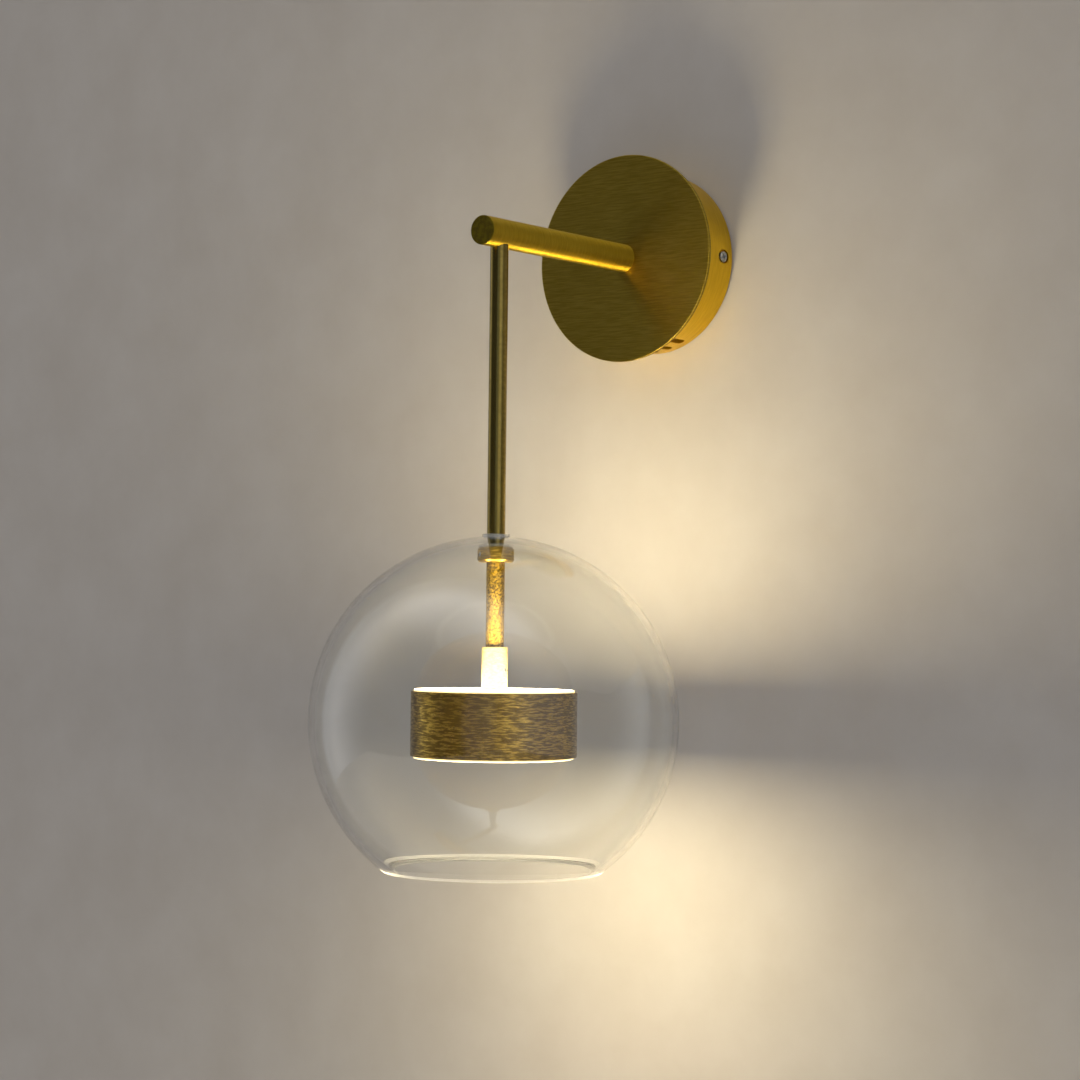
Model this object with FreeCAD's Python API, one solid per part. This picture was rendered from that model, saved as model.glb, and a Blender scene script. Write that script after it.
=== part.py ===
import FreeCAD, Part
import math
import os

os.makedirs("parts", exist_ok=True)

# Lengths are in millimetres and angles in degrees. The wall is the plane y = 0 and the sconce stands
# out from it towards -Y. z = 0 is the height of the arm's axis, and x = 0 is the plane that holds the
# arm and the drop rod.

# canopy
disc_radius = 60.0
disc_thickness = 1.5
cup_radius = 52.5
cup_depth = 33.0
cup_wall = 3.0
cup_floor = 3.0
wall_gap = 1.0            # shadow line between the cup's back edge and the wall
vent_count = 6
vent_pitch = 10.3         # degrees between neighbouring vent slots
vent_length = 14.0
vent_width = 4.0
vent_inset = 6.0          # cup's back edge to the near end of the slots
recess_length = 10.0      # side recess, longer than the screw head so that the cup can slide to the wall
recess_width = 7.8
recess_depth = 1.8
recess_inset = 8.9        # cup's back edge to the middle of the recess
side_screw_radius = 2.0

# wall plate and what is fixed to it
plate_thickness = 2.0
flange_depth = 15.0
flange_thickness = 2.0
flange_angle = 18.0
wall_slot_spacing = 70.0
wall_slot_length = 9.0
wall_slot_width = 4.5
inlet_radius = 7.0
grommet_bore = 4.5
grommet_flange = 9.0
grommet_thickness = 1.5
terminal_width = 28.0
terminal_height = 16.0
terminal_depth = 13.0
terminal_gap = 1.3        # block's top face to the earth lug's barrel
pole_pitch = 9.0
clamp_screw_radius = 1.8
clamp_screw_sink = 0.6
clamp_screw_pitch = 8.0
stud_inset = 8.2          # wall plate's edge to the earth stud's axis
stud_length = 12.0
stud_radius = 2.0
lug_radius = 4.5
lug_thickness = 0.8
lug_barrel_radius = 1.5
lug_barrel_length = 4.0
earth_nut_flats = 7.0
earth_nut_thickness = 3.2
driver_length = 54.0
driver_height = 25.0
driver_depth = 20.0
driver_inset = 2.6        # wall plate's edge to the driver's lower corners
driver_edge = 1.5
ear_length = 6.0
ear_height = 10.0
ear_thickness = 2.0
small_screw_radius = 1.5
small_head_radius = 2.8
small_head_height = 1.9
mains_lead_radius = 0.9
mains_lead_inset = 3.0    # driver's end to where each mains lead enters it
mains_lead_rise = 2.0
wire_level = 8.4          # distance of the terminal's wire holes from the wall

# arm
nipple_radius = 5.0
nipple_bore = 3.5
nipple_grip = 12.0        # length of thread inside the arm
nipple_tail = 2.0         # what stands past the nut
nut_flats = 14.0
nut_thickness = 4.0
washer_radius = 9.0
washer_thickness = 1.0
arm_radius = 8.0
arm_reach = 150.0         # wall to the drop rod's axis
end_block_length = 30.0
end_block_nose = 15.0     # drop rod's axis to the end face
spigot_length = 12.0
channel_radius = 3.0

# drop rod, globe collar and lamp sleeve
rod_radius = 5.0
rod_bore = 3.3
rod_length = 237.0
rod_grip = 5.0            # how far the rod screws into the end block
collar_radius = 10.0
collar_height = 8.0
collar_chamfer = 0.9
collar_drop = 170.5       # arm's axis to the collar's top face
collar_screw_angle = -113.8
set_screw_radius = 1.5
set_screw_socket = 0.75
sleeve_radius = 7.0
sleeve_exposed = 24.0     # length that shows above the lamp drum
sleeve_grip = 15.5        # how far the rod goes into the sleeve
sleeve_spigot = 12.0
sleeve_screw_drop = 12.0
sleeve_screw_angle = 7.8

# globe
globe_radius = 100.0
glass_wall = 3.5
mouth_radius = 58.5
globe_hole_radius = 7.5
bush_flange_radius = 9.5
bush_flange_edge = 1.7
bush_stand = 1.4          # what the bush's barrel stands above the glass

# lamp drum
drum_radius = 45.0
drum_height = 35.0
drum_wall = 1.5
diffuser_thickness = 4.0
diffuser_stand = 1.0      # what each diffuser stands proud of the ring
core_rim = 3.0
web_thickness = 6.0
boss_radius = 9.0
boss_gap = 1.0            # boss's top face to the top diffuser
board_radius = 38.0
board_thickness = 1.6
led_length = 3.5
led_width = 2.8
led_height = 0.8
inner_led_ring = 18.0
inner_led_count = 8
outer_led_ring = 29.0
outer_led_count = 16
board_screw_ring = 34.5
board_screw_count = 3
board_screw_radius = 1.25
board_screw_head = 2.2
board_screw_head_height = 1.5
board_screw_length = 4.4
link_ring = 23.5
link_angle = 30.0         # between the two link wires
link_wire_radius = 0.7
link_hole_radius = 1.0
solder_radius = 1.5
solder_height = 0.8

# inner lead
dc_lead_radius = 1.2
dc_lead_bend = 6.0
dc_lead_level = 10.0      # distance from the wall where it leaves the driver

# clearances and edges
thread_clearance = 0.05   # radial, at each screwed, pressed or running fit
slip_clearance = 0.2      # radial, where a piece drops in
plate_clearance = 0.3     # radial, wall plate to the cup
seat_gap = 0.2            # soft bush to the glass
edge = 0.3                # chamfer on turned edges
disc_edge = 0.15

# places that follow from the sizes; a depth is a distance from the wall
cup_inner = cup_radius - cup_wall
cup_front = wall_gap + cup_depth
floor_back = cup_front - cup_floor
disc_front = cup_front + disc_thickness
plate_radius = cup_inner - plate_clearance
side_screw_depth = wall_gap + recess_inset - (recess_length - recess_width) / 2
passage_radius = nipple_radius + slip_clearance
wire_hole_radius = mains_lead_radius + slip_clearance
arm_tip = arm_reach + end_block_nose
block_start = arm_tip - end_block_length
washer_back = floor_back - washer_thickness
nut_back = washer_back - nut_thickness
stud_height = plate_radius - stud_inset
barrel_top = stud_height - earth_nut_flats / 2 - slip_clearance
barrel_bottom = barrel_top - lug_barrel_length
terminal_top = barrel_bottom - terminal_gap
terminal_bottom = terminal_top - terminal_height
driver_bottom = -math.sqrt((plate_radius - driver_inset) ** 2 - (driver_length / 2) ** 2)
driver_top = driver_bottom + driver_height
mains_lead_spread = driver_length / 2 - mains_lead_inset - pole_pitch
rod_top = rod_grip - arm_radius
rod_bottom = rod_top - rod_length
collar_top = -collar_drop
globe_inner = globe_radius - glass_wall
seat_height = collar_top + bush_flange_edge + seat_gap
globe_centre = seat_height - math.sqrt(globe_inner ** 2 - bush_flange_radius ** 2)
mouth_height = globe_centre - math.sqrt(globe_radius ** 2 - mouth_radius ** 2)
sleeve_top = rod_bottom + sleeve_grip
drum_top = sleeve_top - sleeve_exposed
drum_bottom = drum_top - drum_height
drum_inner = drum_radius - drum_wall
top_rim = drum_top + diffuser_stand - diffuser_thickness
bottom_rim = drum_bottom - diffuser_stand + diffuser_thickness
web_top = (top_rim + bottom_rim + web_thickness) / 2
web_bottom = web_top - web_thickness
boss_top = top_rim - boss_gap
spigot_bottom = boss_top - sleeve_spigot

ORIGIN = FreeCAD.Vector(0, 0, 0)
X_AXIS = FreeCAD.Vector(1, 0, 0)
Y_AXIS = FreeCAD.Vector(0, 1, 0)
Z_AXIS = FreeCAD.Vector(0, 0, 1)
OVERCUT = 1.0             # how far a cutting tool stands past the face that it cuts


def turned(outline):
    """Solid of revolution about Z from a closed outline of (radius, height) corners."""
    corners = [FreeCAD.Vector(radius, 0, height) for radius, height in outline]
    wire = Part.makePolygon(corners + corners[:1])
    return Part.Face(wire).revolve(ORIGIN, Z_AXIS, 360)


def tube(outer, inner, low, high, chamfer=0.0):
    """Round tube about Z with chamfered outer edges."""
    outline = [(inner, low), (outer - chamfer, low), (outer, low + chamfer),
               (outer, high - chamfer), (outer - chamfer, high), (inner, high)]
    if chamfer == 0.0:
        outline = [(inner, low), (outer, low), (outer, high), (inner, high)]
    return turned(outline)


def rod(radius, low, high):
    """Plain round bar about Z."""
    return Part.makeCylinder(radius, high - low, FreeCAD.Vector(0, 0, low))


def facing_room(shape):
    """Turns what points along +Z to point out of the wall, along -Y."""
    turned_shape = shape.copy()
    turned_shape.rotate(ORIGIN, X_AXIS, 90)
    return turned_shape


def moved(shape, x=0.0, depth=0.0, z=0.0):
    """Copy of a shape moved by x, away from the wall by depth, and up by z."""
    copy = shape.copy()
    copy.translate(FreeCAD.Vector(x, -depth, z))
    return copy


def radial(shape, angle):
    """Turns what points along +X about the arm's axis, so that 90 points up."""
    copy = shape.copy()
    copy.rotate(ORIGIN, Y_AXIS, -angle)
    return copy


def around_rod(shape, angle):
    """Turns a shape about Z by angle, then moves it from the origin to the drop rod's axis."""
    copy = shape.copy()
    copy.rotate(ORIGIN, Z_AXIS, angle)
    return moved(copy, depth=arm_reach)


def slot_prism(length, width, low, high):
    """Round-ended bar with its length along X, from low to high along Z."""
    straight = length - width
    bar = Part.makeBox(straight, width, high - low, FreeCAD.Vector(-straight / 2, -width / 2, low))
    for side in (-1, 1):
        end = moved(rod(width / 2, low, high), x=side * straight / 2)
        bar = bar.fuse(end)
    return bar.removeSplitter()


def side_slot(length, width, inner, outer, depth, angle):
    """Cutter for a slot through the cup's side: length along Y, from inner to outer radius."""
    bar = slot_prism(length, width, inner, outer)
    bar.rotate(ORIGIN, Z_AXIS, 90)
    bar.rotate(ORIGIN, Y_AXIS, 90)
    return radial(moved(bar, depth=depth), angle)


def cross_screw(shank_radius, shank_length, head_radius, head_height):
    """Pan-head screw along Z with a cross recess; the head's underside is at z = 0."""
    chamfer = head_height / 4
    body = turned([(0, -shank_length), (shank_radius, -shank_length), (shank_radius, 0),
                   (head_radius, 0), (head_radius, head_height - chamfer),
                   (head_radius - chamfer, head_height), (0, head_height)])
    arm_length = head_radius * 1.2
    arm_width = head_radius * 0.25
    recess = head_height * 0.6
    for angle in (0, 90):
        arm = Part.makeBox(arm_length, arm_width, recess + OVERCUT,
                           FreeCAD.Vector(-arm_length / 2, -arm_width / 2, head_height - recess))
        arm.rotate(ORIGIN, Z_AXIS, angle)
        body = body.cut(arm)
    return body


def hex_prism(across_flats, low, high):
    """Hexagonal bar about Z."""
    corner = across_flats / math.sqrt(3)
    corners = []
    for step in range(6):
        angle = math.radians(60 * step)
        corners.append(FreeCAD.Vector(corner * math.cos(angle), corner * math.sin(angle), low))
    face = Part.Face(Part.makePolygon(corners + corners[:1]))
    return face.extrude(FreeCAD.Vector(0, 0, high - low))


def hex_nut(across_flats, hole_radius, low, high):
    """Hexagonal nut about Z."""
    hole = rod(hole_radius, low - OVERCUT, high + OVERCUT)
    return hex_prism(across_flats, low, high).cut(hole)


def set_screw(tip, end):
    """Headless screw along X from tip to end, with a hexagon socket in its outer end."""
    body = Part.makeCylinder(set_screw_radius - thread_clearance, end - tip, FreeCAD.Vector(tip, 0, 0), X_AXIS)
    socket_depth = (end - tip) / 2
    socket = hex_prism(2 * set_screw_socket, 0, socket_depth + OVERCUT)
    socket.rotate(ORIGIN, Y_AXIS, 90)
    socket.translate(FreeCAD.Vector(end - socket_depth, 0, 0))
    return body.cut(socket)


def swept(path, radius, start, direction):
    """Round lead along a path of straight runs and tangent arcs."""
    section = Part.Wire([Part.makeCircle(radius, start, direction)])
    pipe = Part.Wire(path).makePipeShell([section], True, True)
    return pipe


def ring_of(shape, ring_radius, count, first_angle=0.0):
    """Copies of a shape spaced evenly on a circle about Z."""
    copies = []
    for step in range(count):
        copy = shape.copy()
        copy.translate(FreeCAD.Vector(ring_radius, 0, 0))
        copy.rotate(ORIGIN, Z_AXIS, first_angle + 360 * step / count)
        copies.append(copy)
    return copies


# canopy -------------------------------------------------------------------------------------------

def canopy_disc():
    """Front disc, clamped between the arm's foot and the cup."""
    return facing_room(tube(disc_radius, passage_radius, cup_front, disc_front, disc_edge))


def canopy_cup():
    """Cylindrical housing, open to the wall, with vents below and a screw recess on each side."""
    cup = turned([(passage_radius, floor_back), (cup_inner, floor_back), (cup_inner, wall_gap),
                  (cup_radius - edge, wall_gap), (cup_radius, wall_gap + edge), (cup_radius, cup_front),
                  (passage_radius, cup_front)])
    cup = facing_room(cup)
    vent_depth = wall_gap + vent_inset + vent_length / 2
    for number in range(vent_count):
        angle = -90 + (number - (vent_count - 1) / 2) * vent_pitch
        cup = cup.cut(side_slot(vent_length, vent_width, cup_inner - OVERCUT, cup_radius + OVERCUT,
                                vent_depth, angle))
    recess_floor = cup_radius - recess_depth
    shank_width = 2 * (side_screw_radius + slip_clearance)
    shank_slot = recess_length - recess_width + shank_width
    for angle in (0, 180):
        cup = cup.cut(side_slot(recess_length, recess_width, recess_floor, cup_radius + OVERCUT,
                                wall_gap + recess_inset, angle))
        cup = cup.cut(side_slot(shank_slot, shank_width, cup_inner - OVERCUT, recess_floor + OVERCUT,
                                wall_gap + recess_inset, angle))
    return cup


def canopy_side_screws():
    """Two screws, opposite each other, that hold the cup to the wall plate's flanges."""
    head_radius = recess_width / 2 - 2 * slip_clearance
    head_height = recess_depth - slip_clearance
    recess_floor = cup_radius - recess_depth
    length = recess_floor - (plate_radius - flange_thickness) + OVERCUT
    screw = cross_screw(side_screw_radius - thread_clearance, length, head_radius, head_height)
    screw.rotate(ORIGIN, Y_AXIS, 90)
    screw = moved(screw, x=recess_floor, depth=side_screw_depth)
    return Part.makeCompound([radial(screw, angle) for angle in (0, 180)])


# wall plate ---------------------------------------------------------------------------------------

def plate_holes():
    """Cutters for the tapped holes that hold the terminal block and the driver."""
    places = [(side * pole_pitch / 2, terminal_bottom + terminal_height / 2) for side in (-1, 1)]
    places += [(side * ear_middle(), ear_height_middle()) for side in (-1, 1)]
    hole = facing_room(rod(small_screw_radius, -OVERCUT, plate_thickness + OVERCUT))
    return [moved(hole, x=x, z=z) for x, z in places]


def ear_middle():
    """Sideways place of the driver's ear screws."""
    return (driver_length + ear_length) / 2


def ear_height_middle():
    """Height of the driver's ear screws."""
    return driver_top - ear_height * 0.8


def wall_plate():
    """Round fixing plate with two curved side flanges, wall slots and the cable inlet."""
    plate = rod(plate_radius, 0, plate_thickness)
    flange = tube(plate_radius, plate_radius - flange_thickness, 0, flange_depth)
    wedge_size = plate_radius + OVERCUT
    half_width = wedge_size * math.tan(math.radians(flange_angle / 2))
    corners = [ORIGIN, FreeCAD.Vector(wedge_size, half_width, 0), FreeCAD.Vector(wedge_size, -half_width, 0)]
    wedge = Part.Face(Part.makePolygon(corners + corners[:1])).extrude(FreeCAD.Vector(0, 0, flange_depth))
    for angle in (0, 180):
        turned_wedge = wedge.copy()
        turned_wedge.rotate(ORIGIN, Z_AXIS, angle)
        plate = plate.fuse(flange.common(turned_wedge))
    plate = plate.cut(rod(inlet_radius, -OVERCUT, plate_thickness + OVERCUT))
    slot = slot_prism(wall_slot_length, wall_slot_width, -OVERCUT, plate_thickness + OVERCUT)
    for side in (-1, 1):
        plate = plate.cut(moved(slot, x=side * wall_slot_spacing / 2))
    plate = facing_room(plate)
    bore_start = plate_radius - flange_thickness - OVERCUT
    bore = Part.makeCylinder(side_screw_radius, flange_thickness + 2 * OVERCUT,
                             FreeCAD.Vector(bore_start, -side_screw_depth, 0), X_AXIS)
    for angle in (0, 180):
        plate = plate.cut(radial(bore, angle))
    for hole in plate_holes():
        plate = plate.cut(hole)
    return plate.removeSplitter()


def cable_grommet():
    """Soft bush that lines the cable inlet; its flange lies on the plate's front face."""
    barrel = inlet_radius - thread_clearance
    front = plate_thickness + grommet_thickness
    return facing_room(turned([(grommet_bore, slip_clearance), (barrel, slip_clearance),
                               (barrel, plate_thickness), (grommet_flange, plate_thickness),
                               (grommet_flange, front - edge), (grommet_flange - edge, front),
                               (grommet_bore, front)]))


def pole_places():
    """Sideways places of the terminal block's three poles."""
    return [pole_pitch * number for number in (-1, 0, 1)]


def clamp_heights():
    """Heights of the clamp screws, two on each pole."""
    middle = terminal_bottom + terminal_height / 2
    return [middle - clamp_screw_pitch / 2, middle + clamp_screw_pitch / 2]


def terminal_block():
    """Three-pole block with a wire hole and two clamp screw wells for each pole."""
    front = plate_thickness + terminal_depth
    block = Part.makeBox(terminal_width, terminal_depth, terminal_height,
                         FreeCAD.Vector(-terminal_width / 2, -front, terminal_bottom))
    well = facing_room(rod(clamp_screw_radius + slip_clearance, wire_level, front + OVERCUT))
    for x in pole_places():
        wire_hole = rod(wire_hole_radius, terminal_bottom - OVERCUT, terminal_top + OVERCUT)
        block = block.cut(moved(wire_hole, x=x, depth=wire_level))
        for height in clamp_heights():
            block = block.cut(moved(well, x=x, z=height))
    fixing = facing_room(rod(small_screw_radius, 0, front + OVERCUT))
    for side in (-1, 1):
        block = block.cut(moved(fixing, x=side * pole_pitch / 2, z=terminal_bottom + terminal_height / 2))
    return block


def terminal_clamp_screws():
    """Slotted clamp screws, sunk in their wells, with their tips at the wires."""
    front = plate_thickness + terminal_depth - clamp_screw_sink
    screw = rod(clamp_screw_radius, wire_level + wire_hole_radius + thread_clearance, front)
    slot_width = clamp_screw_radius / 2
    slot = Part.makeBox(3 * clamp_screw_radius, slot_width, 1 + OVERCUT,
                        FreeCAD.Vector(-1.5 * clamp_screw_radius, -slot_width / 2, front - 1))
    screw = facing_room(screw.cut(slot))
    return Part.makeCompound([moved(screw, x=x, z=z) for x in pole_places() for z in clamp_heights()])


def small_screw(grip):
    """Small cross-head screw that points out of the wall; grip is what it clamps above the plate."""
    length = grip + plate_thickness - slip_clearance
    screw = cross_screw(small_screw_radius - thread_clearance, length, small_head_radius, small_head_height)
    return moved(facing_room(screw), depth=plate_thickness + grip)


def terminal_fixing_screws():
    """Two screws that hold the terminal block on the wall plate."""
    middle = terminal_bottom + terminal_height / 2
    screw = small_screw(terminal_depth)
    return Part.makeCompound([moved(screw, x=side * pole_pitch / 2, z=middle) for side in (-1, 1)])


def earth_stud():
    """Threaded stud that stands on the wall plate."""
    stud = facing_room(rod(stud_radius, plate_thickness, plate_thickness + stud_length))
    return moved(stud, z=stud_height)


def earth_nuts():
    """One nut under the lug and one on top of it."""
    under = wire_level - lug_thickness / 2
    over = wire_level + lug_thickness / 2
    hole_radius = stud_radius + thread_clearance
    lower = hex_nut(earth_nut_flats, hole_radius, under - earth_nut_thickness, under)
    upper = hex_nut(earth_nut_flats, hole_radius, over, over + earth_nut_thickness)
    return Part.makeCompound([moved(facing_room(nut), z=stud_height) for nut in (lower, upper)])


def earth_lead():
    """Short wire from the middle pole to its ring lug on the stud."""
    ring = tube(lug_radius, stud_radius + slip_clearance, wire_level - lug_thickness / 2,
                wire_level + lug_thickness / 2)
    ring = moved(facing_room(ring), z=stud_height)
    barrel = rod(lug_barrel_radius, barrel_bottom, barrel_top)
    wire = rod(mains_lead_radius, terminal_top - terminal_height / 3, barrel_top)
    barrel = moved(barrel.fuse(wire), depth=wire_level)
    keep_out = facing_room(rod(stud_radius + slip_clearance, 0, terminal_depth + stud_length))
    return ring.fuse(barrel).cut(moved(keep_out, z=stud_height))


def led_driver():
    """Closed driver case with a fixing ear at each end."""
    case = Part.makeBox(driver_length, driver_depth, driver_height,
                        FreeCAD.Vector(-driver_length / 2, -plate_thickness - driver_depth, driver_bottom))
    front_edges = []
    for case_edge in case.Edges:
        if abs(case_edge.CenterOfMass.y + plate_thickness) > edge:
            front_edges.append(case_edge)
    case = case.makeFillet(driver_edge, front_edges)
    ear_bottom = ear_height_middle() - ear_height / 2
    for side in (-1, 1):
        ear = Part.makeBox(ear_length + driver_edge, ear_thickness, ear_height,
                           FreeCAD.Vector(driver_length / 2 - driver_edge, -plate_thickness - ear_thickness,
                                          ear_bottom))
        hole = facing_room(rod(small_screw_radius, 0, plate_thickness + ear_thickness + OVERCUT))
        ear = ear.cut(moved(hole, x=ear_middle(), z=ear_height_middle()))
        if side < 0:
            ear = ear.mirror(ORIGIN, X_AXIS)
        case = case.fuse(ear)
    return case.removeSplitter()


def driver_screws():
    """Two screws through the driver's ears."""
    screw = small_screw(ear_thickness)
    return Part.makeCompound([moved(screw, x=side * ear_middle(), z=ear_height_middle()) for side in (-1, 1)])


def mains_leads():
    """Live and neutral wires: out of the block's top, over in a half circle and down to the driver."""
    start = FreeCAD.Vector(pole_pitch, -wire_level, terminal_top - terminal_height / 3)
    turn = FreeCAD.Vector(pole_pitch, -wire_level, terminal_top + mains_lead_rise)
    half = FreeCAD.Vector(mains_lead_spread / 2, 0, 0)
    crown = turn + half + FreeCAD.Vector(0, 0, mains_lead_spread / 2)
    down = turn + half * 2
    end = FreeCAD.Vector(down.x, down.y, driver_top)
    path = [Part.makeLine(start, turn), Part.Arc(turn, crown, down).toShape(), Part.makeLine(down, end)]
    lead = swept(path, mains_lead_radius, start, Z_AXIS)
    return Part.makeCompound([lead, lead.mirror(ORIGIN, X_AXIS)])


# arm ----------------------------------------------------------------------------------------------

def arm_nipple():
    """Threaded tube through the cup and the disc into the arm."""
    outer = nipple_radius - thread_clearance
    return facing_room(tube(outer, nipple_bore, nut_back - nipple_tail, disc_front + nipple_grip, edge))


def arm_washer():
    """Washer between the nut and the cup's floor."""
    return facing_room(tube(washer_radius, passage_radius, washer_back, floor_back, edge))


def arm_nut():
    """Nut that pulls the arm against the disc."""
    return facing_room(hex_nut(nut_flats, nipple_radius, nut_back, washer_back))


def arm_tube():
    """Round arm from the disc to the end block, tapped at both ends."""
    return facing_room(tube(arm_radius, nipple_radius, disc_front, block_start))


def arm_end_block():
    """Solid end of the arm: a spigot into the tube, and a tapped hole below for the drop rod."""
    spigot = nipple_radius - thread_clearance
    block = turned([(0, block_start - spigot_length), (spigot, block_start - spigot_length),
                    (spigot, block_start), (arm_radius, block_start), (arm_radius, arm_tip - edge),
                    (arm_radius - edge, arm_tip), (0, arm_tip)])
    block = block.cut(rod(channel_radius, block_start - spigot_length - OVERCUT, arm_reach + rod_bore))
    block = facing_room(block)
    socket = rod(rod_radius + thread_clearance, -arm_radius - OVERCUT, rod_top)
    passage = rod(rod_bore, rod_top - OVERCUT, 0)
    for cutter in (socket, passage):
        block = block.cut(moved(cutter, depth=arm_reach))
    return block


# drop rod, collar and sleeve ----------------------------------------------------------------------

def drop_rod():
    """Hollow rod from the end block, through the globe, into the lamp sleeve."""
    return moved(tube(rod_radius, rod_bore, rod_bottom, rod_top), depth=arm_reach)


def globe_collar():
    """Collar on the rod; the globe's soft bush rests on its top face."""
    collar = tube(collar_radius, rod_radius + thread_clearance, collar_top - collar_height, collar_top,
                  collar_chamfer)
    hole = Part.makeCylinder(set_screw_radius, collar_radius + OVERCUT, ORIGIN, X_AXIS)
    hole.rotate(ORIGIN, Z_AXIS, collar_screw_angle)
    hole = moved(hole, z=collar_top - collar_height / 2)
    return moved(collar.cut(hole), depth=arm_reach)


def collar_set_screw():
    """Headless screw that clamps the collar on the rod."""
    screw = moved(set_screw(rod_radius + thread_clearance, collar_radius - edge), z=collar_top - collar_height / 2)
    return around_rod(screw, collar_screw_angle)


def lamp_sleeve():
    """Sleeve that takes the rod from above and screws into the lamp core below."""
    fit = rod_radius + thread_clearance
    spigot = nipple_radius - thread_clearance
    sleeve = turned([(rod_bore, spigot_bottom), (spigot, spigot_bottom), (spigot, boss_top),
                     (sleeve_radius, boss_top), (sleeve_radius, sleeve_top - edge),
                     (sleeve_radius - edge, sleeve_top), (fit, sleeve_top), (fit, rod_bottom),
                     (rod_bore, rod_bottom)])
    hole = Part.makeCylinder(set_screw_radius, sleeve_radius + OVERCUT, ORIGIN, X_AXIS)
    hole.rotate(ORIGIN, Z_AXIS, sleeve_screw_angle)
    hole = moved(hole, z=sleeve_top - sleeve_screw_drop)
    return moved(sleeve.cut(hole), depth=arm_reach)


def sleeve_set_screw():
    """Headless screw that clamps the sleeve on the rod."""
    screw = moved(set_screw(rod_radius + thread_clearance, sleeve_radius - edge), z=sleeve_top - sleeve_screw_drop)
    return around_rod(screw, sleeve_screw_angle)


# globe --------------------------------------------------------------------------------------------

def glass_globe():
    """Blown globe of even wall, cut level below and drilled on top for its bush."""
    mouth_inner = math.sqrt(globe_inner ** 2 - (globe_centre - mouth_height) ** 2)
    top_outer = math.sqrt(globe_radius ** 2 - globe_hole_radius ** 2)
    top_inner = math.sqrt(globe_inner ** 2 - globe_hole_radius ** 2)
    drop = mouth_height - globe_centre
    outer_mouth = FreeCAD.Vector(mouth_radius, 0, drop)
    inner_mouth = FreeCAD.Vector(mouth_inner, 0, drop)
    outer_top = FreeCAD.Vector(globe_hole_radius, 0, top_outer)
    inner_top = FreeCAD.Vector(globe_hole_radius, 0, top_inner)
    outline = [Part.makeLine(inner_mouth, outer_mouth),
               Part.Arc(outer_mouth, FreeCAD.Vector(globe_radius, 0, 0), outer_top).toShape(),
               Part.makeLine(outer_top, inner_top),
               Part.Arc(inner_top, FreeCAD.Vector(globe_inner, 0, 0), inner_mouth).toShape()]
    shell = Part.Face(Part.Wire(outline)).revolve(ORIGIN, Z_AXIS, 360)
    return moved(shell, depth=arm_reach, z=globe_centre)


def globe_bush():
    """Soft top-hat bush: its barrel lines the globe's hole and its flange carries the glass."""
    barrel = globe_hole_radius - thread_clearance
    top = globe_centre + math.sqrt(globe_radius ** 2 - globe_hole_radius ** 2) + bush_stand
    bore = rod_radius + thread_clearance
    flange = tube(bush_flange_radius, bore, collar_top, top)
    crown = Part.makeSphere(globe_inner - seat_gap, FreeCAD.Vector(0, 0, globe_centre))
    flange = flange.common(crown)
    return moved(flange.fuse(tube(barrel, bore, collar_top, top)).removeSplitter(), depth=arm_reach)


# lamp drum ----------------------------------------------------------------------------------------

def drum_ring():
    """Ring round the lamp."""
    return moved(tube(drum_radius, drum_inner, drum_bottom, drum_top, edge), depth=arm_reach)


def board_screw_places():
    """Angles of the board screws: the top board's, and the bottom board's between them."""
    return {"top": 0.0, "bottom": 180.0 / board_screw_count}


def link_wire_angles():
    """Angles of the two link wires about the rod's axis."""
    return (90 - link_angle / 2, 90 + link_angle / 2)


def drum_core():
    """Turned aluminium core: a rim between the diffusers, a web for the boards and a boss for the sleeve."""
    rim_outer = drum_inner - thread_clearance
    rim_inner = rim_outer - core_rim
    ledge = spigot_bottom - slip_clearance
    core = turned([(nipple_radius, ledge), (nipple_radius, boss_top), (boss_radius, boss_top),
                   (boss_radius, web_top), (rim_inner, web_top), (rim_inner, top_rim), (rim_outer, top_rim),
                   (rim_outer, bottom_rim), (rim_inner, bottom_rim), (rim_inner, web_bottom),
                   (rod_bore, web_bottom), (rod_bore, ledge)])
    depth = board_screw_length - board_thickness + slip_clearance
    angles = board_screw_places()
    from_top = rod(board_screw_radius, web_top - depth, web_top + OVERCUT)
    from_below = rod(board_screw_radius, web_bottom - OVERCUT, web_bottom + depth)
    cutters = ring_of(from_top, board_screw_ring, board_screw_count, angles["top"])
    cutters += ring_of(from_below, board_screw_ring, board_screw_count, angles["bottom"])
    link_hole = rod(link_hole_radius, web_bottom - OVERCUT, web_top + OVERCUT)
    for angle in link_wire_angles():
        cutters += ring_of(link_hole, link_ring, 1, angle)
    for cutter in cutters:
        core = core.cut(cutter)
    return moved(core, depth=arm_reach)


def led_board(low, hole_radius, screw_angle):
    """Round board with screw and wire holes; hole_radius 0 leaves its middle closed."""
    high = low + board_thickness
    board = rod(board_radius, low, high)
    cutters = ring_of(rod(board_screw_radius, low - OVERCUT, high + OVERCUT), board_screw_ring,
                      board_screw_count, screw_angle)
    for angle in link_wire_angles():
        cutters += ring_of(rod(link_hole_radius, low - OVERCUT, high + OVERCUT), link_ring, 1, angle)
    if hole_radius:
        cutters.append(rod(hole_radius, low - OVERCUT, high + OVERCUT))
    for cutter in cutters:
        board = board.cut(cutter)
    return moved(board, depth=arm_reach)


def top_led_board():
    """Board on the upper side of the web, round the boss."""
    return led_board(web_top, boss_radius + slip_clearance, board_screw_places()["top"])


def bottom_led_board():
    """Board on the lower side of the web."""
    return led_board(web_bottom - board_thickness, 0.0, board_screw_places()["bottom"])


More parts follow.
